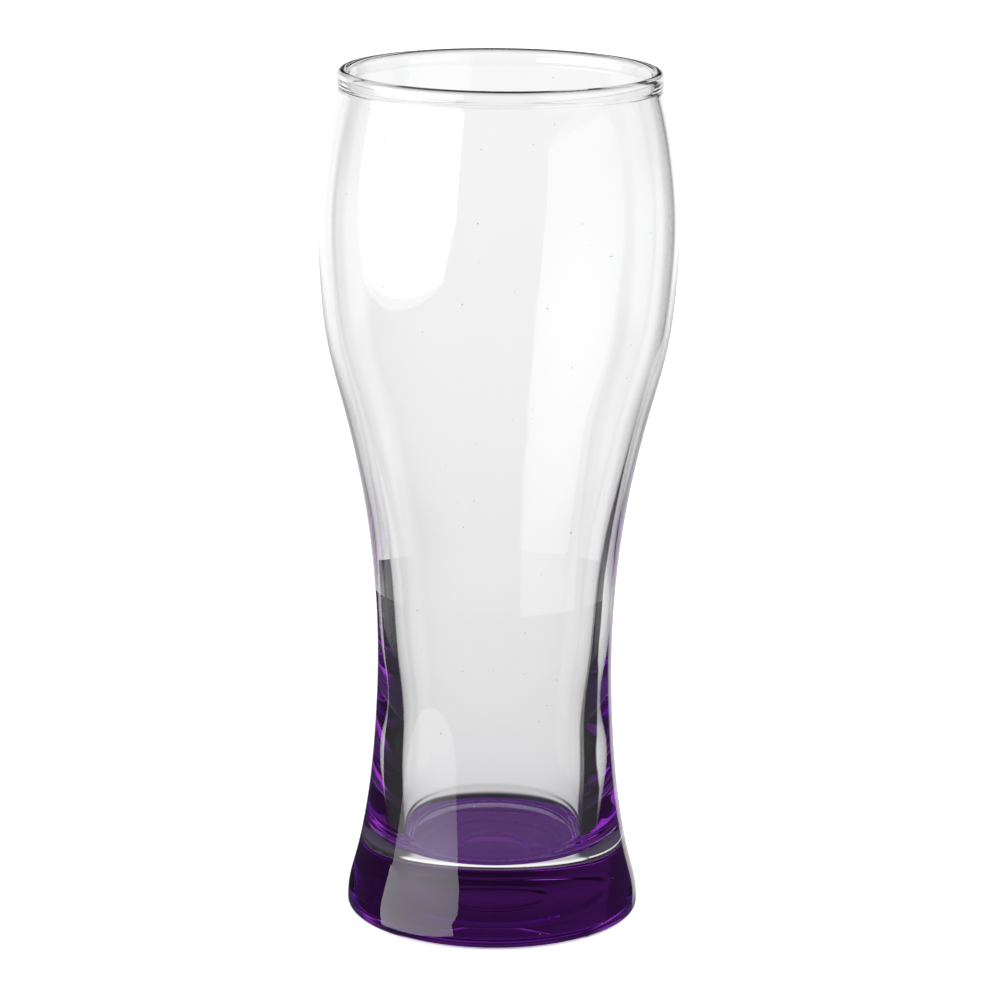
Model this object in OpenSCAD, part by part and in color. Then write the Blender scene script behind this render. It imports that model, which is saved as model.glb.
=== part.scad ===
// Pilsner glass, half a litre, with a violet lacquer coat under its foot.
// Origin: middle of the ring the glass stands on. +Z runs up the axis to the rim. Millimetres.

/* [Glass] */
// Height from the table to the top of the rim
height = 193; // [186:1:205]

/* [Foot] */
// Widest diameter of the foot
foot_d = 66.4; // [62:0.2:72]
// Radius of the rounded heel under the foot
heel_r = 1.4; // [0.8:0.1:2.2]
// Width of the flat ring that the glass stands on
bearing_w = 3.2; // [2:0.1:5]
// Height of the hollow under the foot where it meets the ring
punt_edge_h = 1.1; // [0.6:0.1:1.6]
// Height of the hollow under the foot at the axis
punt_h = 2.0; // [1.7:0.1:3]
// Radius of the inner mould ring under the foot
mould_ring_inner_r = 9; // [7:0.5:11]
// Radius of the outer mould ring under the foot
mould_ring_outer_r = 18; // [15:0.5:21]
// Width of each mould ring
mould_ring_w = 3.6; // [2:0.2:5]
// How far each mould ring stands out of the hollow
mould_ring_h = 0.07; // [0.04:0.01:0.2]
// Width of the round at the edge of the hollow
punt_round_w = 3.0; // [1:0.1:4]
// Thickness of the lacquer coat
coat_t = 0.15; // [0.1:0.05:0.3]

/* [Waist] */
// Diameter of the waist
waist_d = 53.3; // [50:0.2:58]
// Height of the waist above the table
waist_z = 58; // [52:1:66]
// Wall at the waist
wall_waist = 4.5; // [3.5:0.1:5.5]

/* [Bowl] */
// Widest diameter of the bowl
bowl_d = 80.24; // [76:0.2:86]
// Height of the widest part of the bowl
bowl_z = 156; // [148:1:162]
// Wall of the bowl
wall_bowl = 1.35; // [1.1:0.05:1.8]

/* [Rim] */
// Outer diameter of the rim bead
rim_d = 71.9; // [68:0.1:75]
// Thickness of the rim bead
rim_t = 2.4; // [1.9:0.1:3]
// Height of the rim bead, from its neck to the top
bead_h = 4.0; // [3.2:0.1:5]
// Wall at the neck under the bead
wall_neck = 1.75; // [1.4:0.05:2]
// How far the neck lies inside the bead
neck_in = 0.2; // [0.1:0.05:0.5]

/* [Cavity] */
// Height of the cavity floor above the table
floor_z = 15.9; // [12:0.1:20]
// Diameter of the straight lower cavity
cavity_d = 42.4; // [38:0.2:44]
// Width of the rounded corner between the cavity wall and its floor
corner_w = 1.6; // [0.8:0.1:2.5]
// Height of that corner
corner_h = 5.0; // [3:0.1:6]
// Width of the step that runs round the edge of the floor
floor_step_w = 0.7; // [0.4:0.1:1.2]
// Depth of that step
floor_step_h = 0.35; // [0.2:0.05:0.6]

/* [Hidden] */

// Faces round the axis, and steps along each curve of the outline
$fn = 160;
outer_steps = 64;
inner_steps = 48;
arc_steps = 10;
ring_steps = 6;

foot_r = foot_d / 2;
waist_r = waist_d / 2;
bowl_r = bowl_d / 2;
rim_r = rim_d / 2;
bead_r = rim_t / 2;
neck_r = rim_r - neck_in;
neck_z = height - bead_h;
cavity_r = cavity_d / 2;
bearing_r = foot_r - heel_r;
punt_r = bearing_r - bearing_w;

// Foot: share of the waist's height, share of the way out from the waist to the foot
foot_shares = [[0.08, 0.98], [0.2, 0.735], [0.35, 0.455], [0.5, 0.26], [0.75, 0.073]];
// Flare: share of the rise from waist to bowl, share of the way out, share of the wall's change
flare_shares = [
    [0.2, 0.058, 0.75],
    [0.4, 0.247, 0.44],
    [0.6, 0.570, 0.21],
    [0.75, 0.842, 0.08],
    [0.88, 0.958, 0.02]
];
// Shoulder: share of the rise from bowl to neck, share of the way in, share of the wall's change
shoulder_shares = [[0.2, 0.035, 0.06], [0.5, 0.26, 0.3], [0.8, 0.64, 0.72]];
// Heights, as shares of the waist's, between which the lower cavity stays straight
straight_shares = [0.56, 0.75];
// Height at which each side of the bead is full: share of the way from its neck to its round
bead_out_share = 0.45;
bead_in_share = 1;
// Slopes, in degrees, at which the heel's round meets the ring and the side of the foot
heel_from = -80;
heel_to = -10;
// Slope, in degrees, at which the hollow runs into the round at its edge
punt_round_from = 88;

// Natural cubic spline: bends() gives the second derivative at each station, and
// spline() the value at x. Stations are [x, value], with x rising.
function sweep(p, i = 1, share = 0, load = 0, done = []) =
    i >= len(p) - 1 ? done :
    let(
        before = p[i][0] - p[i - 1][0],
        after = p[i + 1][0] - p[i][0],
        rise = (p[i + 1][1] - p[i][1]) / after,
        fall = (p[i][1] - p[i - 1][1]) / before,
        pivot = 2 * (before + after) - before * share,
        next_share = after / pivot,
        next_load = (6 * (rise - fall) - before * load) / pivot
    )
    sweep(p, i + 1, next_share, next_load, concat(done, [[next_share, next_load]]));

function unwind(swept, i, last = 0, done = [0]) =
    i < 0 ? concat([0], done) :
    let(bend = swept[i][1] - swept[i][0] * last)
    unwind(swept, i - 1, bend, concat([bend], done));

function bends(p) = unwind(sweep(p), len(p) - 3);

function span(p, x, i = 0) = i >= len(p) - 2 || x <= p[i + 1][0] ? i : span(p, x, i + 1);

function spline(p, m, x) =
    let(
        i = span(p, x),
        gap = p[i + 1][0] - p[i][0],
        a = (p[i + 1][0] - x) / gap,
        b = (x - p[i][0]) / gap
    )
    a * p[i][1] + b * p[i + 1][1]
        + ((a * a * a - a) * m[i] + (b * b * b - b) * m[i + 1]) * gap * gap / 6;

function mix(from, to, share) = from + (to - from) * share;

// Points [radius, height] of a part ellipse about (r, z)
function arc(r, z, half_w, half_h, from, to, steps) =
    [for (i = [0:steps])
        let(a = mix(from, to, i / steps))
        [r + half_w * cos(a), z + half_h * sin(a)]];

// Outer wall: [height, radius] stations from the heel to the neck of the bead
outer_stations = concat(
    [[0, foot_r]],
    [for (s = foot_shares) [waist_z * s[0], mix(waist_r, foot_r, s[1])]],
    [[waist_z, waist_r]],
    [for (s = flare_shares) [mix(waist_z, bowl_z, s[0]), mix(waist_r, bowl_r, s[1])]],
    [[bowl_z, bowl_r]],
    [for (s = shoulder_shares) [mix(bowl_z, neck_z, s[0]), mix(bowl_r, neck_r, s[1])]],
    [[neck_z, neck_r]]
);
outer_bends = bends(outer_stations);
function outer(z) = spline(outer_stations, outer_bends, z);

// Inner wall: straight in the heavy lower part, then the outer wall less its thickness
corner_z = floor_z + corner_h;
inner_stations = concat(
    [[corner_z, cavity_r]],
    [for (s = straight_shares) [waist_z * s, cavity_r]],
    [[waist_z, waist_r - wall_waist]],
    [for (s = flare_shares)
        let(z = mix(waist_z, bowl_z, s[0]))
        [z, outer(z) - mix(wall_bowl, wall_waist, s[2])]],
    [[bowl_z, bowl_r - wall_bowl]],
    [for (s = shoulder_shares)
        let(z = mix(bowl_z, neck_z, s[0]))
        [z, outer(z) - mix(wall_bowl, wall_neck, s[2])]],
    [[neck_z, neck_r - wall_neck]]
);
inner_bends = bends(inner_stations);
function inner(z) = spline(inner_stations, inner_bends, z);

// Rim bead: swells out of the neck on both sides and closes over a half round
bead_z = height - bead_r;
function swell(from, to, share) = mix(from, to, (1 - cos(180 * share)) / 2);
function bead_side(from_r, to_r, full_share) =
    let(full_z = mix(neck_z, bead_z, full_share))
    [for (i = [1:arc_steps])
        [swell(from_r, to_r, i / arc_steps), mix(neck_z, full_z, i / arc_steps)]];
function turned(p) = [for (i = [len(p) - 1:-1:0]) p[i]];
function without_last(p) = [for (i = [0:len(p) - 2]) p[i]];
rim_outline = concat(
    bead_side(neck_r, rim_r, bead_out_share),
    arc(rim_r - bead_r, bead_z, bead_r, bead_r, 0, 180, 2 * arc_steps),
    turned(without_last(bead_side(neck_r - wall_neck, rim_r - rim_t, bead_in_share)))
);

// Floor of the cavity: rounded corner, a small step, then flat to the axis
floor_outline = concat(
    arc(cavity_r - corner_w, corner_z, corner_w, corner_h - floor_step_h, 0, -90, arc_steps),
    [
        [cavity_r - corner_w - floor_step_w, floor_z],
        [0, floor_z]
    ]
);

// Underside: heights of the hollow along its radius, with two mould rings standing down in it
function hollow(r) = punt_h - (punt_h - punt_edge_h) * pow(r / punt_r, 2);
function ring_drop(r, ring_r) =
    let(x = (r - ring_r) / (mould_ring_w / 2))
    abs(x) >= 1 ? 0 : mould_ring_h * (1 + cos(180 * x)) / 2;
function underside(r) =
    hollow(r) - ring_drop(r, mould_ring_inner_r) - ring_drop(r, mould_ring_outer_r);
function ring_radii(ring_r) =
    [for (i = [-ring_steps:ring_steps]) ring_r + i / ring_steps * mould_ring_w / 2];
punt_edge_r = punt_r - punt_round_w;
punt_radii = concat(
    [0, mould_ring_inner_r / 2],
    ring_radii(mould_ring_inner_r),
    [mix(mould_ring_inner_r, mould_ring_outer_r, 0.5)],
    ring_radii(mould_ring_outer_r),
    [mix(mould_ring_outer_r, punt_edge_r, 0.5), punt_edge_r]
);

// Underside from the axis to the outer edge of the ring, moved down by drop
function underside_line(drop) = concat(
    [for (r = punt_radii) [r, underside(r) - drop]],
    arc(punt_edge_r, coat_t - drop, punt_round_w, underside(punt_edge_r) - coat_t,
        punt_round_from, 0, arc_steps),
    [[bearing_r, coat_t - drop]]
);

// Heel: quarter round from the ring up to the side of the foot
heel_top_z = coat_t + heel_r;
heel_outline =
    arc(outer(heel_top_z) - heel_r, heel_top_z, heel_r, heel_r, heel_from, heel_to, arc_steps);

module glass_body() {
    color([0.86, 0.93, 0.92, 0.4])
        rotate_extrude()
            polygon(concat(
                underside_line(0),
                heel_outline,
                [for (i = [0:outer_steps])
                    let(z = mix(heel_top_z, neck_z, i / outer_steps))
                    [outer(z), z]],
                rim_outline,
                [for (i = [inner_steps:-1:1])
                    let(z = mix(corner_z, neck_z, i / inner_steps))
                    [inner(z), z]],
                floor_outline
            ));
}

module base_coat() {
    color([0.33, 0.05, 0.55])
        rotate_extrude()
            polygon(concat(underside_line(coat_t), turned(underside_line(0))));
}

glass_body();
base_coat();
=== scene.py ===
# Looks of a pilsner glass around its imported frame: a clear body with a heavy foot, a violet coat
# under it, and the bright ground between dark flanks that shows the edges of clear glass.
import math

import bpy
import numpy as np
from mathutils import Matrix, Vector


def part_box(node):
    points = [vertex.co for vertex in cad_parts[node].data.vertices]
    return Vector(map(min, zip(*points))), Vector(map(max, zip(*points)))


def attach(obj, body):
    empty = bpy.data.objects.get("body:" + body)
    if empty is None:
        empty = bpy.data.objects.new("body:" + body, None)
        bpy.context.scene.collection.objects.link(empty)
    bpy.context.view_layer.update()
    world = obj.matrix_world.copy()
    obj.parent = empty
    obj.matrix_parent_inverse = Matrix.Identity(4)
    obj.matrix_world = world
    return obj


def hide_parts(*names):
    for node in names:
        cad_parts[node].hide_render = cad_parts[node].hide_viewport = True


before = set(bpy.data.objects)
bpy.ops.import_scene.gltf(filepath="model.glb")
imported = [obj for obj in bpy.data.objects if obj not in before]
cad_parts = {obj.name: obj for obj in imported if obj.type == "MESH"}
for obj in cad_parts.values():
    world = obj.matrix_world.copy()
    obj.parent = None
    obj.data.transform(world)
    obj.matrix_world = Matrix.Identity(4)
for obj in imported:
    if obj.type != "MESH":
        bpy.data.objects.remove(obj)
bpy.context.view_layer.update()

MM = 0.001

# Glass: the same driving sizes as the CAD part's, in metres
glass_low, glass_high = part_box("glass_body")
HEIGHT = glass_high[2]
BOWL_R = glass_high[0]
FOOT_R = 33.2 * MM
HEEL_R = 1.4 * MM
BEARING_W = 3.2 * MM
PUNT_EDGE_H = 1.1 * MM
PUNT_H = 2.0 * MM
PUNT_ROUND_W = 3.0 * MM
MOULD_RING_RADII = (9 * MM, 18 * MM)
MOULD_RING_W = 3.6 * MM
MOULD_RING_H = 0.07 * MM
COAT_T = glass_low[2]
WAIST_R = 26.65 * MM
WAIST_Z = 58 * MM
WALL_WAIST = 4.5 * MM
BOWL_Z = 156 * MM
WALL_BOWL = 1.35 * MM
RIM_R = 35.95 * MM
RIM_T = 2.4 * MM
BEAD_H = 4.0 * MM
WALL_NECK = 1.75 * MM
NECK_IN = 0.2 * MM
FLOOR_Z = 15.9 * MM
CAVITY_R = 21.2 * MM
CORNER_W = 1.6 * MM
CORNER_H = 5.0 * MM
STEP_W = 0.7 * MM
STEP_H = 0.35 * MM
# Gap between the glass and its coat, too thin to see
COAT_GAP = 0.01 * MM

# Shares of the foot, flare and shoulder, as in the CAD part
FOOT_SHARES = ((0.08, 0.98), (0.2, 0.735), (0.35, 0.455), (0.5, 0.26), (0.75, 0.073))
FLARE_SHARES = (
    (0.2, 0.058, 0.75), (0.4, 0.247, 0.44), (0.6, 0.570, 0.21), (0.75, 0.842, 0.08),
    (0.88, 0.958, 0.02))
SHOULDER_SHARES = ((0.2, 0.035, 0.06), (0.5, 0.26, 0.3), (0.8, 0.64, 0.72))
STRAIGHT_SHARES = (0.56, 0.75)
BEAD_OUT_SHARE = 0.45
BEAD_IN_SHARE = 1.0
# Slopes, in degrees, between which the heel is round and at which the hollow meets its round edge
HEEL_FROM = -80
HEEL_TO = -10
PUNT_ROUND_FROM = 88

# Fineness of the meshes
TURN_STEPS = 288
WALL_STEPS = 260
ARC_STEPS = 16
CORNER_STEPS = 64
COAT_EDGE_STEPS = 8
UNDERSIDE_STEPS = 150

# Camera, where the photograph was taken from: metres, degrees, and the lens in millimetres
CAMERA_BACK = 0.87909
CAMERA_UP = 0.31377
CAMERA_PITCH = 13.944635
CAMERA_PAN = 0.05611
CAMERA_ROLL = 0.62088
CAMERA_LENS = 144.6965
CAMERA_SENSOR = 36.0
CLIP_NEAR = 0.01
CLIP_FAR = 100

WHITE = (1, 1, 1, 1)


def mix(low, high, share):
    return low + (high - low) * share


def spline(stations):
    """Natural cubic through (place, value) stations, as a function of the place."""
    places, values = np.array(stations, dtype=float).T
    gaps = np.diff(places)
    slopes = np.diff(values) / gaps
    last = len(places) - 1
    rows = np.eye(last + 1)
    loads = np.zeros(last + 1)
    for i in range(1, last):
        rows[i, i - 1:i + 2] = gaps[i - 1], 2 * (gaps[i - 1] + gaps[i]), gaps[i]
        loads[i] = 6 * (slopes[i] - slopes[i - 1])
    bends = np.linalg.solve(rows, loads)

    def value(place):
        i = int(np.clip(np.searchsorted(places, place) - 1, 0, last - 1))
        a = (places[i + 1] - place) / gaps[i]
        b = 1 - a
        curve = (a ** 3 - a) * bends[i] + (b ** 3 - b) * bends[i + 1]
        return a * values[i] + b * values[i + 1] + curve * gaps[i] ** 2 / 6

    return value


# Outline of the glass, worked out from the sizes above
NECK_R = RIM_R - NECK_IN
NECK_Z = HEIGHT - BEAD_H
BEAD_R = RIM_T / 2
BEAD_Z = HEIGHT - BEAD_R
BEARING_R = FOOT_R - HEEL_R
PUNT_R = BEARING_R - BEARING_W
CORNER_Z = FLOOR_Z + CORNER_H
HEEL_TOP_Z = COAT_T + HEEL_R

outer = spline(
    [(0, FOOT_R)]
    + [(WAIST_Z * up, mix(WAIST_R, FOOT_R, out)) for up, out in FOOT_SHARES]
    + [(WAIST_Z, WAIST_R)]
    + [(mix(WAIST_Z, BOWL_Z, up), mix(WAIST_R, BOWL_R, out)) for up, out, _ in FLARE_SHARES]
    + [(BOWL_Z, BOWL_R)]
    + [(mix(BOWL_Z, NECK_Z, up), mix(BOWL_R, NECK_R, inward))
       for up, inward, _ in SHOULDER_SHARES]
    + [(NECK_Z, NECK_R)])

# Faint ring that the mould left round the foot of the cavity's wall
CAVITY_MARK_Z = 19.4 * MM
CAVITY_MARK_H = 0.6 * MM
CAVITY_MARK_IN = 0.06 * MM


def mark(z):
    """How far the faint ring stands in from the cavity's wall."""
    return CAVITY_MARK_IN * math.exp(-((z - CAVITY_MARK_Z) / CAVITY_MARK_H) ** 2)


def behind_outer(z, wall):
    """A station of the inner wall, the wall's thickness inside the outer one."""
    return (z, outer(z) - wall)


inner = spline(
    [(CORNER_Z, CAVITY_R)]
    + [(WAIST_Z * up, CAVITY_R) for up in STRAIGHT_SHARES]
    + [(WAIST_Z, WAIST_R - WALL_WAIST)]
    + [behind_outer(mix(WAIST_Z, BOWL_Z, up), mix(WALL_BOWL, WALL_WAIST, thick))
       for up, _, thick in FLARE_SHARES]
    + [(BOWL_Z, BOWL_R - WALL_BOWL)]
    + [behind_outer(mix(BOWL_Z, NECK_Z, up), mix(WALL_BOWL, WALL_NECK, thick))
       for up, _, thick in SHOULDER_SHARES]
    + [(NECK_Z, NECK_R - WALL_NECK)])


def arc(r, z, half_w, half_h, start, end, steps=ARC_STEPS):
    """Points of a part ellipse about (r, z), its angles in degrees."""
    turns = [math.radians(mix(start, end, i / steps)) for i in range(steps + 1)]
    return [(r + half_w * math.cos(a), z + half_h * math.sin(a)) for a in turns]


def swell(low, high, share):
    """A smooth rise from low to high."""
    return mix(low, high, (1 - math.cos(math.pi * share)) / 2)


def bead_side(from_r, to_r, full_share):
    """One side of the rim's bead, from its neck to where it is full."""
    full_z = mix(NECK_Z, BEAD_Z, full_share)
    shares = [i / ARC_STEPS for i in range(1, ARC_STEPS + 1)]
    return [(swell(from_r, to_r, s), mix(NECK_Z, full_z, s)) for s in shares]


def underside(r):
    """Height of the hollow under the foot, with the mould rings standing down in it."""
    height = PUNT_H - (PUNT_H - PUNT_EDGE_H) * (r / PUNT_R) ** 2
    for ring_r in MOULD_RING_RADII:
        x = (r - ring_r) / (MOULD_RING_W / 2)
        if abs(x) < 1:
            height -= MOULD_RING_H * (1 + math.cos(math.pi * x)) / 2
    return height


def underside_line(drop):
    """The underside from the axis to the outer edge of the standing ring, moved down by drop."""
    edge_r = PUNT_R - PUNT_ROUND_W
    radii = [edge_r * i / UNDERSIDE_STEPS for i in range(UNDERSIDE_STEPS + 1)]
    points = [(r, underside(r) - drop) for r in radii]
    round_h = underside(edge_r) - COAT_T
    points += arc(edge_r, COAT_T - drop, PUNT_ROUND_W, round_h, PUNT_ROUND_FROM, 0)
    ring = [mix(PUNT_R, BEARING_R, i / ARC_STEPS) for i in range(1, ARC_STEPS + 1)]
    return points + [(r, COAT_T - drop) for r in ring]


def lathe(name, outline, slots, materials):
    """A closed solid of revolution. slots gives the material of each step of the outline."""
    verts = []
    rings = []
    for r, z in outline:
        if r == 0:
            rings.append([len(verts)] * TURN_STEPS)
            verts.append((0, 0, z))
            continue
        rings.append(list(range(len(verts), len(verts) + TURN_STEPS)))
        for i in range(TURN_STEPS):
            a = 2 * math.pi * i / TURN_STEPS
            verts.append((r * math.cos(a), r * math.sin(a), z))
    faces = []
    face_slots = []
    for step in range(len(outline) - 1):
        low, high = rings[step], rings[step + 1]
        for i in range(TURN_STEPS):
            j = (i + 1) % TURN_STEPS
            corners = [low[i], low[j], high[j], high[i]]
            faces.append(list(dict.fromkeys(corners)))
            face_slots.append(slots[step])
    mesh = bpy.data.meshes.new(name)
    mesh.from_pydata(verts, [], faces)
    for material in materials:
        mesh.materials.append(material)
    mesh.polygons.foreach_set("material_index", face_slots)
    mesh.polygons.foreach_set("use_smooth", [True] * len(faces))
    mesh.update()
    mesh.validate()
    piece = bpy.data.objects.new(name, mesh)
    bpy.context.scene.collection.objects.link(piece)
    return piece


# Materials


def new_material(name):
    material = bpy.data.materials.new(name)
    material.use_nodes = True
    tree = material.node_tree
    tree.nodes.clear()
    return material, tree, tree.nodes.new("ShaderNodeOutputMaterial")


def add_node(tree, kind, **values):
    """A node with its sockets set or linked by name."""
    node = tree.nodes.new(kind)
    for name, value in values.items():
        socket = node.inputs[name.replace("_", " ")]
        if isinstance(value, bpy.types.NodeSocket):
            tree.links.new(value, socket)
        else:
            socket.default_value = value
    return node


def math_node(tree, operation, *values):
    node = tree.nodes.new("ShaderNodeMath")
    node.operation = operation
    for socket, value in zip(node.inputs, values):
        if isinstance(value, bpy.types.NodeSocket):
            tree.links.new(value, socket)
        else:
            socket.default_value = value
    return node.outputs[0]


def soft_step(tree, value, edge, soft):
    """0 below the edge and 1 above it, with a smooth rise soft wide."""
    node = tree.nodes.new("ShaderNodeMapRange")
    node.interpolation_type = "SMOOTHSTEP"
    tree.links.new(math_node(tree, "SUBTRACT", value, edge), node.inputs["Value"])
    node.inputs["From Min"].default_value = -soft / 2
    node.inputs["From Max"].default_value = soft / 2
    return node.outputs["Result"]


def blend(tree, share, low, high):
    """low where share is 0 and high where it is 1."""
    return math_node(
        tree, "ADD", math_node(tree, "MULTIPLY", share, high),
        math_node(tree, "MULTIPLY", math_node(tree, "SUBTRACT", 1.0, share), low))


def mixed(tree, share, first, second):
    """The first shader where share is 0 and the second where it is 1."""
    node = tree.nodes.new("ShaderNodeMixShader")
    tree.links.new(share, node.inputs[0])
    tree.links.new(first.outputs[0], node.inputs[1])
    tree.links.new(second.outputs[0], node.inputs[2])
    return node


GLASS_IOR = 1.52
GLASS_TINT = (0.996, 0.997, 0.999, 1)
VIOLET_DEEP = (0.62, 0.15, 0.90, 1)
VIOLET_PALE = (0.78, 0.30, 0.98, 1)
# Streaks round the axis: how many to the metre outward, how often they break along the way, and
# how finely they are broken up on the cavity's floor and in the coat
STREAKS_OUT = 420
STREAKS_ROUND = 2.2
RIPPLE_DETAIL = 3.0
DYE_DETAIL = 4.0
# Least distance from the axis that is divided by
AXIS_R = 0.001 * MM
# Ripples in the pressed floor of the cavity: their height, the height that they fade out at, the
# radius that they end at, and the softness of both
RIPPLE_H = 0.015 * MM
RIPPLE_TOP_Z = 24 * MM
RIPPLE_SOFT = 8 * MM
RIPPLE_R = 18.6 * MM
RIPPLE_EDGE = 1.5 * MM
# Dust: grains to the metre, how rare the larger ones are, and the least and greatest radius as
# shares of their spacing
DUST_SCALE = 250
DUST_RARITY = 3.0
DUST_SMALL = 0.008
DUST_LARGE = 0.045
DUST_COLOR = (0.5, 0.5, 0.52, 1)


def place_in_glass(tree):
    """The place on the object, its coordinates and its distance from the axis."""
    place = tree.nodes.new("ShaderNodeTexCoord").outputs["Object"]
    axes = add_node(tree, "ShaderNodeSeparateXYZ", Vector=place).outputs
    square = math_node(
        tree, "ADD", math_node(tree, "MULTIPLY", axes[0], axes[0]),
        math_node(tree, "MULTIPLY", axes[1], axes[1]))
    return place, axes, math_node(tree, "MAXIMUM", math_node(tree, "SQRT", square), AXIS_R)


def streaks(tree, detail):
    """Noise drawn out round the axis, from 0 to 1."""
    _, axes, away = place_in_glass(tree)
    turned = tree.nodes.new("ShaderNodeCombineXYZ")
    for i in range(2):
        along = math_node(tree, "DIVIDE", axes[i], away)
        tree.links.new(math_node(tree, "MULTIPLY", along, STREAKS_ROUND), turned.inputs[i])
    outward = math_node(tree, "MULTIPLY", math_node(tree, "ADD", away, axes[2]), STREAKS_OUT)
    tree.links.new(outward, turned.inputs[2])
    noise = add_node(tree, "ShaderNodeTexNoise", Vector=turned.outputs[0], Scale=1.0, Detail=detail)
    return noise.outputs[0]


def ripples(tree):
    """Normals of the uneven floor of the cavity; the rest of the glass is smooth."""
    _, axes, away = place_in_glass(tree)
    low = soft_step(tree, RIPPLE_TOP_Z, axes[2], RIPPLE_SOFT)
    within = soft_step(tree, RIPPLE_R, away, RIPPLE_EDGE)
    above = math_node(tree, "GREATER_THAN", axes[2], FLOOR_Z / 2)
    share = math_node(tree, "MULTIPLY", math_node(tree, "MULTIPLY", low, within), above)
    height = math_node(tree, "MULTIPLY", streaks(tree, RIPPLE_DETAIL), share)
    bump = add_node(tree, "ShaderNodeBump", Height=height, Distance=RIPPLE_H, Strength=1.0)
    return bump.outputs["Normal"]


def dust(tree):
    """1 on a grain of dust and 0 on clean glass."""
    place, _, _ = place_in_glass(tree)
    cells = add_node(tree, "ShaderNodeTexVoronoi", Vector=place, Scale=DUST_SCALE)
    chance = add_node(tree, "ShaderNodeSeparateXYZ", Vector=cells.outputs["Color"]).outputs[0]
    reach = blend(tree, math_node(tree, "POWER", chance, DUST_RARITY), DUST_SMALL, DUST_LARGE)
    return math_node(tree, "LESS_THAN", cells.outputs["Distance"], reach)


def clear_shader(tree, tint):
    """Smooth glass, or lacquer, that light passes through."""
    return add_node(
        tree, "ShaderNodeBsdfPrincipled", Base_Color=tint, Roughness=0.0, IOR=GLASS_IOR,
        Transmission_Weight=1.0)


def dusty_glass(name, tint):
    """Clear glass with grains of dust on it and ripples in the cavity's floor."""
    material, tree, output = new_material(name)
    glass = clear_shader(tree, tint)
    tree.links.new(ripples(tree), glass.inputs["Normal"])
    grain = add_node(tree, "ShaderNodeBsdfDiffuse", Color=DUST_COLOR)
    tree.links.new(mixed(tree, dust(tree), glass, grain).outputs[0], output.inputs["Surface"])
    return material


def lacquer_skin(name):
    """The coat's smooth outer face."""
    material, tree, output = new_material(name)
    shader = clear_shader(tree, WHITE)
    tree.links.new(shader.outputs["BSDF"], output.inputs["Surface"])
    return material


def contact(name):
    """Where the coat wets the glass: light goes straight on, and the coat's own top tints it."""
    material, tree, output = new_material(name)
    shader = tree.nodes.new("ShaderNodeBsdfTransparent")
    tree.links.new(shader.outputs["BSDF"], output.inputs["Surface"])
    return material


def dye(name):
    """The coat's colour, uneven as a sprayed coat is. Light goes straight through it."""
    material, tree, output = new_material(name)
    shader = tree.nodes.new("ShaderNodeBsdfTransparent")
    tint = tree.nodes.new("ShaderNodeMix")
    tint.data_type = "RGBA"
    tint.inputs["A"].default_value = VIOLET_DEEP
    tint.inputs["B"].default_value = VIOLET_PALE
    tree.links.new(streaks(tree, DYE_DETAIL), tint.inputs["Factor"])
    tree.links.new(tint.outputs["Result"], shader.inputs["Color"])
    tree.links.new(shader.outputs["BSDF"], output.inputs["Surface"])
    return material


# Pieces


def make_glass():
    """The vessel, one closed outline from the axis of its underside round to its cavity's floor."""
    under = underside_line(0)
    heel_r = outer(HEEL_TOP_Z) - HEEL_R
    heel = arc(heel_r, HEEL_TOP_Z, HEEL_R, HEEL_R, HEEL_FROM, HEEL_TO)
    side = [mix(HEEL_TOP_Z, NECK_Z, i / WALL_STEPS) for i in range(WALL_STEPS + 1)]
    rim = bead_side(NECK_R, RIM_R, BEAD_OUT_SHARE)
    rim += arc(RIM_R - BEAD_R, BEAD_Z, BEAD_R, BEAD_R, 0, 180, 2 * ARC_STEPS)
    rim += reversed(bead_side(NECK_R - WALL_NECK, RIM_R - RIM_T, BEAD_IN_SHARE)[:-1])
    cavity = [mix(CORNER_Z, NECK_Z, i / WALL_STEPS) for i in range(WALL_STEPS, 0, -1)]
    floor_r = CAVITY_R - CORNER_W
    corner = arc(floor_r, CORNER_Z, CORNER_W, CORNER_H - STEP_H, 0, -90, CORNER_STEPS)
    corner = [(r - mark(z), z) for r, z in corner]
    step_r = floor_r - STEP_W
    shares = [i / ARC_STEPS for i in range(1, ARC_STEPS + 1)]
    step = [(mix(floor_r, step_r, s), swell(FLOOR_Z + STEP_H, FLOOR_Z, s)) for s in shares]
    floor = [(step_r * (1 - s), FLOOR_Z) for s in shares]
    outline = under + heel
    outline += [(outer(z), z) for z in side]
    outline += rim
    outline += [(inner(z), z) for z in cavity]
    outline += corner + step + floor
    slots = [1] * (len(under) - 1) + [0] * (len(outline) - len(under))
    materials = [dusty_glass("fire_polished_glass", GLASS_TINT), contact("wet_contact")]
    return lathe("vessel", outline, slots, materials)


def make_coat():
    """The lacquer, from the axis to the outer edge of the standing ring."""
    top = underside_line(COAT_GAP)
    under = underside_line(COAT_T)
    half = (COAT_T - COAT_GAP) / 2
    edge_r = BEARING_R - half
    edge = arc(edge_r, half, half, half, -90, 90, COAT_EDGE_STEPS)
    under = [p for p in under if p[0] < edge_r]
    top = [p for p in top if p[0] < edge_r]
    outline = under + edge + list(reversed(top))
    slots = [0] * (len(under) + len(edge) - 1) + [1] * len(top)
    return lathe("foot_coat", outline, slots, [lacquer_skin("lacquer_skin"), dye("violet_dye")])


PIECES = (
    (make_glass(), "glass_body", "clear_glass"),
    (make_coat(), "base_coat", "violet_lacquer"))
for piece, node, slot in PIECES:
    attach(piece, "root")
    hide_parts(node)


# Surroundings


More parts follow.
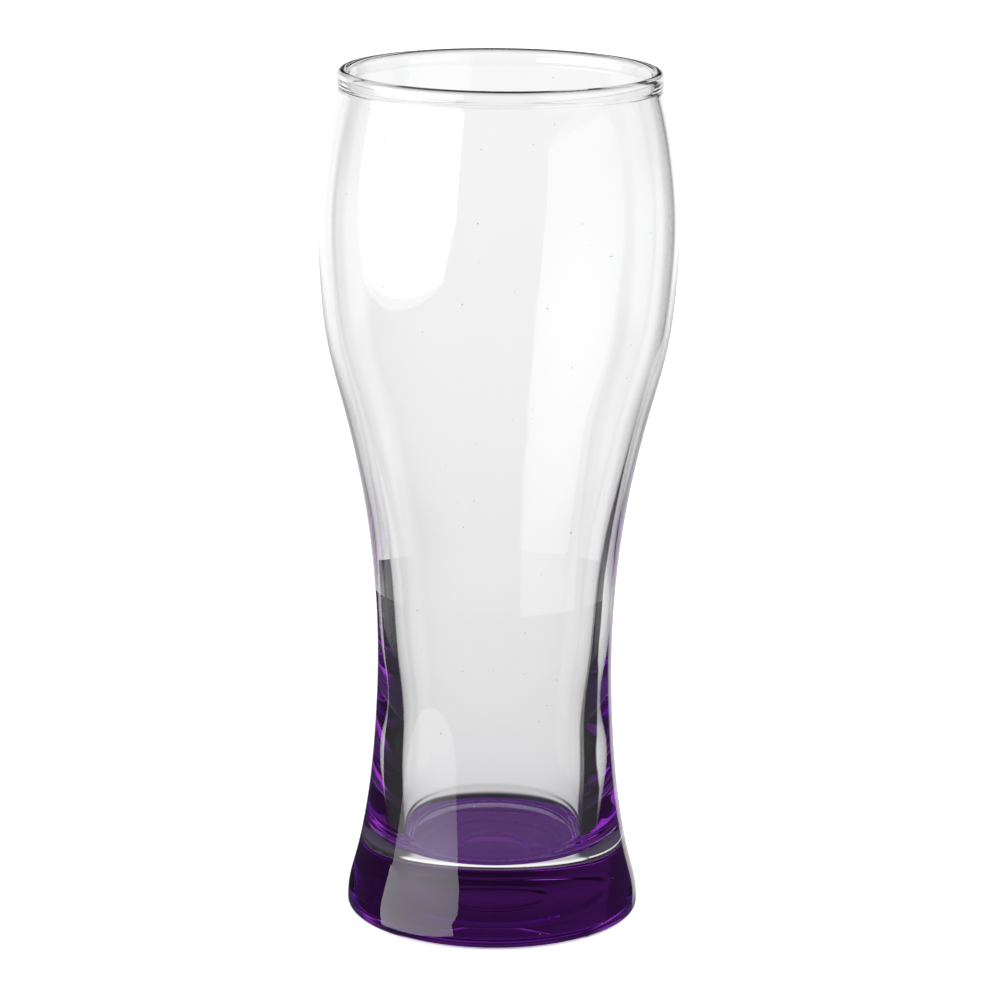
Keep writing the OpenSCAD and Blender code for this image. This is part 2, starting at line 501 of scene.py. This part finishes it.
def make_camera():
    """The camera, turned by its pan and pitch and then rolled."""
    pitch, pan, roll = (math.radians(a) for a in (CAMERA_PITCH, CAMERA_PAN, CAMERA_ROLL))
    ahead = Vector((
        math.sin(pan) * math.cos(pitch), math.cos(pan) * math.cos(pitch), -math.sin(pitch)))
    level_right = Vector((math.cos(pan), -math.sin(pan), 0))
    level_up = level_right.cross(ahead)
    right = math.cos(roll) * level_right + math.sin(roll) * level_up
    up = -math.sin(roll) * level_right + math.cos(roll) * level_up
    data = bpy.data.cameras.new("camera")
    data.lens = CAMERA_LENS
    data.sensor_width = CAMERA_SENSOR
    data.clip_start = CLIP_NEAR
    data.clip_end = CLIP_FAR
    camera = bpy.data.objects.new("camera", data)
    bpy.context.scene.collection.objects.link(camera)
    turn = Matrix((right, up, -ahead)).transposed().to_4x4()
    camera.matrix_world = Matrix.Translation((0, -CAMERA_BACK, CAMERA_UP)) @ turn
    bpy.context.scene.camera = camera


# What the glass sees behind it, by direction: degrees round from straight behind to the right,
# and degrees above the horizon. First the bright ground's level by elevation, for light that only
# passes through the glass and for light that has been reflected in it.
GROUND_THROUGH = (
    (-90, 0.02), (-60, 0.04), (-47, 0.08), (-43, 0.16), (-39, 0.45), (-35, 0.62), (-31, 0.66),
    (-27, 0.79), (-25, 0.85), (-22, 0.895), (-18.6, 0.905), (-17.6, 0.96), (-15, 1.015),
    (-11, 1.035), (-8, 1.06), (11, 1.0), (15, 0.03), (90, 0.02))
GROUND_REFLECTED = (
    (-90, 0.02), (-60, 0.04), (-40, 0.06), (-36, 0.2), (-32, 0.5), (-27, 0.75), (-23, 0.85),
    (-18, 0.91), (-13, 0.99), (-8, 1.02), (4, 0.95), (8, 0.06), (11, 0.012), (14.5, 0.015),
    (15.2, 0.03), (16.2, 0.06), (18.3, 0.082), (21, 0.08), (23.5, 0.07), (27, 0.04), (90, 0.03))
# Where the bright ground ends to the left and to the right, in degrees, some of it by elevation:
# for light that meets one wall of the glass, then for light that crosses the cavity, and then for
# reflected light. The last value is the width of the ground's soft edge.
GROUND_LEFT = ((-90, -31), (-24, -30), (90, -30))
GROUND_RIGHT = ((-90, 8), (-37, 10), (-32, 20), (-29, 28), (90, 28))
FAR_LEFT = -62
FAR_RIGHT = 32
BOUNCED_LEFT = -46
BOUNCED_RIGHT = (
    (-90, 23), (-30, 23), (-28, 27), (-26, 30), (-24.5, 34), (-22, 37), (-20, 35), (-17, 29),
    (90, 29))
GROUND_SOFT = 5
# What light that crosses the cavity keeps low down, by elevation
FAR_SHARE = ((-90, 0.2), (-43, 0.2), (-40, 0.5), (-36, 1.0), (90, 1.0))
# The dark flanks, and how wide the change from one to the other is
DARK_LEFT = 0.04
DARK_RIGHT = 0.03
DARK_SOFT = 20
# Further bright grounds for other sides: middle, height, half width, half height, level, and the
# softness of the sides and of the other two edges
OTHER_GROUNDS = ((-90, -2, 20, 13, 0.95, 5, 4), (135, -17, 22, 14, 0.95, 5, 4))
# A strip over the horizon that only reflections show, with the same values
HIGH_STRIP = (-26, 6, 15, 4.5, 0.95, 8, 1.5)
# Pale walls far to both sides, which only reflections show: degrees to the side, level, softness,
# and the elevation that they reach up to for light that has been inside the glass
WALL_FROM = 50
WALL_TO = 84
WALL_LEVEL = 0.72
WALL_SOFT = 8
WALL_TOP = 0
# Share of the ground's level that is kept where only one wall of the glass is looked through
ONE_WALL = 0.955
# Least level that is seen in the cavity's floor and in the far wall
FAR_LEVEL = 0.17
# Even light on matt surfaces
AMBIENT = 0.8
HALF_TURN = 180
# How often a ray has passed a surface of the glass or been reflected, told apart half way between
# whole numbers: at least once, more than once, and more often than one wall makes it
SOME = 0.5
MORE_THAN_ONE = 1.5
BEYOND_ONE_WALL = 2.5


def ramp(tree, value, stops):
    """Straight steps between (place, level) stops."""
    level = stops[0][1]
    for (low, low_level), (high, high_level) in zip(stops, stops[1:]):
        step = tree.nodes.new("ShaderNodeMapRange")
        step.inputs["From Min"].default_value = low
        step.inputs["From Max"].default_value = high
        step.inputs["To Max"].default_value = high_level - low_level
        tree.links.new(value, step.inputs["Value"])
        level = math_node(tree, "ADD", step.outputs["Result"], level)
    return level


def between(tree, low, value, high, soft):
    """1 between the edges and 0 beyond them."""
    return math_node(
        tree, "MULTIPLY", soft_step(tree, value, low, soft), soft_step(tree, high, value, soft))


def other_ground(tree, around, height, middle, lift, half_w, half_h, level, soft_w, soft_h):
    """A patch of light with soft edges about one direction."""
    turned = math_node(tree, "SUBTRACT", around, middle)
    off = math_node(tree, "ABSOLUTE", math_node(tree, "WRAP", turned, HALF_TURN, -HALF_TURN))
    up = math_node(tree, "ABSOLUTE", math_node(tree, "SUBTRACT", height, lift))
    across = soft_step(tree, half_w, off, soft_w)
    upward = soft_step(tree, half_h, up, soft_h)
    return math_node(tree, "MULTIPLY", math_node(tree, "MULTIPLY", across, upward), level)


def make_world():
    """The surroundings. The camera itself sees plain white."""
    world = bpy.data.worlds.new("studio")
    bpy.context.scene.world = world
    world.use_nodes = True
    tree = world.node_tree
    tree.nodes.clear()
    place = tree.nodes.new("ShaderNodeTexCoord").outputs["Generated"]
    axes = add_node(tree, "ShaderNodeSeparateXYZ", Vector=place).outputs
    degree = HALF_TURN / math.pi
    around = math_node(tree, "MULTIPLY", math_node(tree, "ARCTAN2", axes[0], axes[1]), degree)
    height = math_node(tree, "MULTIPLY", math_node(tree, "ARCSINE", axes[2]), degree)
    rays = tree.nodes.new("ShaderNodeLightPath").outputs
    far = math_node(tree, "GREATER_THAN", rays["Transmission Depth"], BEYOND_ONE_WALL)
    left = blend(tree, far, ramp(tree, height, GROUND_LEFT), FAR_LEFT)
    right = blend(tree, far, ramp(tree, height, GROUND_RIGHT), FAR_RIGHT)
    inside = between(tree, left, around, right, GROUND_SOFT)
    dark = blend(tree, soft_step(tree, around, 0, DARK_SOFT), DARK_LEFT, DARK_RIGHT)
    ground = ramp(tree, height, GROUND_THROUGH)
    kept = blend(tree, far, 1.0, ramp(tree, height, FAR_SHARE))
    ground = math_node(tree, "MULTIPLY", ground, kept)
    through = blend(tree, inside, dark, ground)
    for values in OTHER_GROUNDS:
        patch = other_ground(tree, around, height, *values)
        through = math_node(tree, "MAXIMUM", through, patch)
    right = ramp(tree, height, BOUNCED_RIGHT)
    inside = between(tree, BOUNCED_LEFT, around, right, GROUND_SOFT)
    reflected = blend(tree, inside, dark, ramp(tree, height, GROUND_REFLECTED))
    strip = other_ground(tree, around, height, *HIGH_STRIP)
    reflected = math_node(tree, "MAXIMUM", reflected, strip)
    aside = math_node(tree, "ABSOLUTE", around)
    wall = between(tree, WALL_FROM, aside, WALL_TO, WALL_SOFT)
    outside = math_node(tree, "LESS_THAN", rays["Transmission Depth"], SOME)
    low = soft_step(tree, WALL_TOP, height, WALL_SOFT)
    wall = math_node(tree, "MULTIPLY", wall, math_node(tree, "MAXIMUM", outside, low))
    wall = math_node(tree, "MULTIPLY", wall, WALL_LEVEL)
    reflected = math_node(tree, "MAXIMUM", reflected, wall)
    least = math_node(tree, "MULTIPLY", far, FAR_LEVEL)
    reflected = math_node(tree, "MAXIMUM", reflected, least)
    through = math_node(tree, "MULTIPLY", through, blend(tree, far, ONE_WALL, 1.0))
    bounced = math_node(tree, "GREATER_THAN", rays["Glossy Depth"], SOME)
    level = blend(tree, bounced, through, reflected)
    level = blend(tree, rays["Is Diffuse Ray"], level, AMBIENT)
    level = math_node(tree, "MAXIMUM", level, rays["Is Camera Ray"])
    shown = add_node(tree, "ShaderNodeBackground", Color=WHITE, Strength=level)
    output = tree.nodes.new("ShaderNodeOutputWorld")
    tree.links.new(shown.outputs["Background"], output.inputs["Surface"])


# Floor: how far it lies below the glass, half its side, its glow and its colour, and then the
# colour, radius and softness of the painted shadow under the foot: a dark glowing spot that only
# light in the glass sees, in place of the shaded floor beneath it
FLOOR_DROP = 0.2 * MM
FLOOR_HALF = 3.0
FLOOR_GLOW = 0.8
FLOOR_COLOR = (0.8, 0.8, 0.8, 1)
PAINTED_FOOT_SHADOW = (0.12, 0.10, 0.17, 1)
PAINTED_FOOT_SHADOW_R = 36 * MM
PAINTED_FOOT_SHADOW_SOFT = 10 * MM


def make_floor():
    """Pale floor with the glass's faint shadow. Glass looks past it, but for a painted shadow, a
    dark glowing spot under the foot.
    """
    material, tree, output = new_material("pale_floor")
    glow = add_node(tree, "ShaderNodeEmission", Color=WHITE, Strength=FLOOR_GLOW)
    matt = add_node(tree, "ShaderNodeBsdfDiffuse", Color=FLOOR_COLOR)
    both = tree.nodes.new("ShaderNodeAddShader")
    tree.links.new(glow.outputs[0], both.inputs[0])
    tree.links.new(matt.outputs[0], both.inputs[1])
    clear = tree.nodes.new("ShaderNodeBsdfTransparent")
    # Painted shadow: a dark glow round the foot, shown to light in the glass in place of the shaded
    # floor there
    shade = add_node(tree, "ShaderNodeEmission", Color=PAINTED_FOOT_SHADOW, Strength=1.0)
    place = tree.nodes.new("ShaderNodeNewGeometry").outputs["Position"]
    away = tree.nodes.new("ShaderNodeVectorMath")
    away.operation = "LENGTH"
    tree.links.new(place, away.inputs[0])
    beyond = soft_step(tree, away.outputs["Value"], PAINTED_FOOT_SHADOW_R, PAINTED_FOOT_SHADOW_SOFT)
    painted_shadow_in_glass = mixed(tree, beyond, shade, clear)
    rays = tree.nodes.new("ShaderNodeLightPath").outputs
    bent = math_node(tree, "MAXIMUM", rays["Is Glossy Ray"], rays["Is Transmission Ray"])
    shown = mixed(tree, bent, both, painted_shadow_in_glass)
    tree.links.new(shown.outputs[0], output.inputs["Surface"])
    mesh = bpy.data.meshes.new("floor")
    ways = ((-1, -1), (1, -1), (1, 1), (-1, 1))
    corners = [(x * FLOOR_HALF, y * FLOOR_HALF, -FLOOR_DROP) for x, y in ways]
    mesh.from_pydata(corners, [], [(0, 1, 2, 3)])
    mesh.materials.append(material)
    floor = bpy.data.objects.new("floor", mesh)
    bpy.context.scene.collection.objects.link(floor)


# How much of a soft box is kept by light that has been reflected more than once, and by light
# that comes from the far wall of the glass
DEEP_KEPT = 0.2
FAR_KEPT = 0.06


def bounced_light(tree, rays):
    """Light that has been reflected in the glass."""
    shown = math_node(tree, "GREATER_THAN", rays["Glossy Depth"], SOME)
    limits = (
        ("Glossy Depth", MORE_THAN_ONE, DEEP_KEPT),
        ("Transmission Depth", BEYOND_ONE_WALL, FAR_KEPT))
    for depth, limit, kept in limits:
        beyond = math_node(tree, "GREATER_THAN", rays[depth], limit)
        shown = math_node(tree, "MULTIPLY", shown, blend(tree, beyond, 1.0, kept))
    return shown


def one_wall_light(tree, rays):
    """Light that has only passed one wall of the glass."""
    straight = math_node(tree, "LESS_THAN", rays["Glossy Depth"], SOME)
    near = math_node(tree, "LESS_THAN", rays["Transmission Depth"], BEYOND_ONE_WALL)
    return math_node(tree, "MULTIPLY", straight, near)


def first_glint(tree, rays):
    """Light that the outer wall has mirrored once."""
    once = math_node(tree, "COMPARE", rays["Glossy Depth"], 1, SOME)
    outside = math_node(tree, "LESS_THAN", rays["Transmission Depth"], SOME)
    return math_node(tree, "MULTIPLY", once, outside)


# Soft boxes, which only reflections show. Each is an upright screen that faces the axis of the
# glass: degrees round from +X, distance in metres, then its outline as rows of its height and of
# its left and right end in degrees seen from the axis, its brightness by height, how much the
# sides lose, and the light that sees it where that isn't all reflected light.
SOFT_BOXES = {
    "left_softbox": {
        "azimuth": 206, "away": 1.385,
        "rows": ((-0.30, -16, 14), (-0.285, -26, 24), (-0.26, -31, 29), (-0.15, -33, 31),
                 (0.0, -35, 34), (0.2, -37, 37), (0.9, -38, 38)),
        "shine": ((-0.3, 1.5), (-0.2, 1.7), (-0.1, 2.2), (0.05, 3.6), (0.9, 3.8)),
        "side_loss": 0.25},
    "foot_softbox": {
        "azimuth": 206, "away": 0.055,
        "rows": ((-0.008, -7, 41), (0.014, -8, 39)), "shine": ((-0.008, 3.4), (0.014, 3.4)),
        "side_loss": 0.1, "seen_by": first_glint},
    "right_softbox": {
        "azimuth": 325, "away": 1.2,
        "rows": ((-1.3, -30, 26), (-0.4, -31, 27), (-0.2, -29, 29), (0.1, -27, 32), (0.33, -24, 33),
                 (0.49, -23, 32), (0.54, -14, 26)),
        "shine": ((-1.3, 1.1), (-0.7, 1.25), (-0.3, 1.3), (0, 1.1), (0.15, 0.95), (0.3, 0.85),
                  (0.54, 0.85)),
        "side_loss": 0.25},
}


def glint_material(name, strength, seen_by):
    """A bright or dark surface that only some of the light in the glass can see."""
    material, tree, output = new_material(name)
    level = strength(tree) if callable(strength) else strength
    glow = add_node(tree, "ShaderNodeEmission", Color=WHITE, Strength=level)
    clear = tree.nodes.new("ShaderNodeBsdfTransparent")
    rays = tree.nodes.new("ShaderNodeLightPath").outputs
    shown = mixed(tree, seen_by(tree, rays), clear, glow)
    tree.links.new(shown.outputs[0], output.inputs["Surface"])
    return material


def stage_mesh(name, verts, faces, material):
    """A staging object that the camera itself doesn't see."""
    mesh = bpy.data.meshes.new(name)
    mesh.from_pydata(verts, [], faces)
    mesh.materials.append(material)
    thing = bpy.data.objects.new(name, mesh)
    thing.visible_camera = False
    bpy.context.scene.collection.objects.link(thing)


def strip_faces(count):
    """The faces of a strip whose points run in pairs along it."""
    return [(2 * i, 2 * i + 1, 2 * i + 3, 2 * i + 2) for i in range(count)]


def make_softbox(name, azimuth, away, rows, shine, side_loss, seen_by=bounced_light):
    """An upright screen whose brightness changes with height and falls off to its sides."""
    turn = math.radians(azimuth)
    out = Vector((math.cos(turn), math.sin(turn), 0))
    side = Vector((-math.sin(turn), math.cos(turn), 0))
    half = max(abs(math.tan(math.radians(a))) for row in rows for a in row[1:]) * away

    def strength(tree):
        place = tree.nodes.new("ShaderNodeNewGeometry").outputs["Position"]
        height = add_node(tree, "ShaderNodeSeparateXYZ", Vector=place).outputs[2]
        level = ramp(tree, height, shine)
        across = tree.nodes.new("ShaderNodeVectorMath")
        across.operation = "DOT_PRODUCT"
        tree.links.new(place, across.inputs[0])
        across.inputs[1].default_value = side / half
        square = math_node(tree, "MULTIPLY", across.outputs["Value"], across.outputs["Value"])
        kept = math_node(tree, "MULTIPLY_ADD", square, -side_loss, 1.0)
        return math_node(tree, "MULTIPLY", level, kept)

    verts = []
    for height, first, last in rows:
        for edge in (first, last):
            aside = away * math.tan(math.radians(edge))
            verts.append(out * away + side * aside + Vector((0, 0, height)))
    faces = strip_faces(len(rows) - 1)
    stage_mesh(name, verts, faces, glint_material(name, strength, seen_by))


# Cards round the glass: distance from the axis, degrees round from +X, heights, the light that
# sees them, and their level. The first two keep the right soft box and the pale walls out of the
# foot, the flags darken the edges of the wall, and the board lies behind the mouth in high views.
DARK = 0.03
CARDS = {
    "left_card": (62 * MM, 130, 197, -60 * MM, 60 * MM, bounced_light, DARK),
    "right_card": (62 * MM, 285, 390, -60 * MM, 60 * MM, bounced_light, DARK),
    "left_flag": (62 * MM, 128, 200, 14 * MM, 85 * MM, one_wall_light, DARK),
    "left_bowl_flag": (220 * MM, 112, 128, 49 * MM, 260 * MM, one_wall_light, DARK),
    "right_bowl_flag": (220 * MM, 49, 68, 49 * MM, 260 * MM, one_wall_light, DARK),
    "mouth_board": (500 * MM, 119, 156, -90 * MM, 30 * MM, one_wall_light, 0.9),
}
CARD_STEPS = 24


def make_card(name, away, first, last, low, high, seen_by, level):
    """An upright card, bent round the axis of the glass."""
    verts = []
    for i in range(CARD_STEPS + 1):
        a = math.radians(mix(first, last, i / CARD_STEPS))
        for z in (low, high):
            verts.append((away * math.cos(a), away * math.sin(a), z))
    faces = strip_faces(CARD_STEPS)
    stage_mesh(name, verts, faces, glint_material(name, level, seen_by))


make_camera()
make_world()
make_floor()
for name, values in SOFT_BOXES.items():
    make_softbox(name, **values)
for name, values in CARDS.items():
    make_card(name, *values)

BOUNCES = 32
scene = bpy.context.scene
scene.view_settings.view_transform = "Standard"
scene.cycles.max_bounces = BOUNCES
scene.cycles.transmission_bounces = BOUNCES
scene.cycles.glossy_bounces = BOUNCES
scene.cycles.transparent_max_bounces = BOUNCES
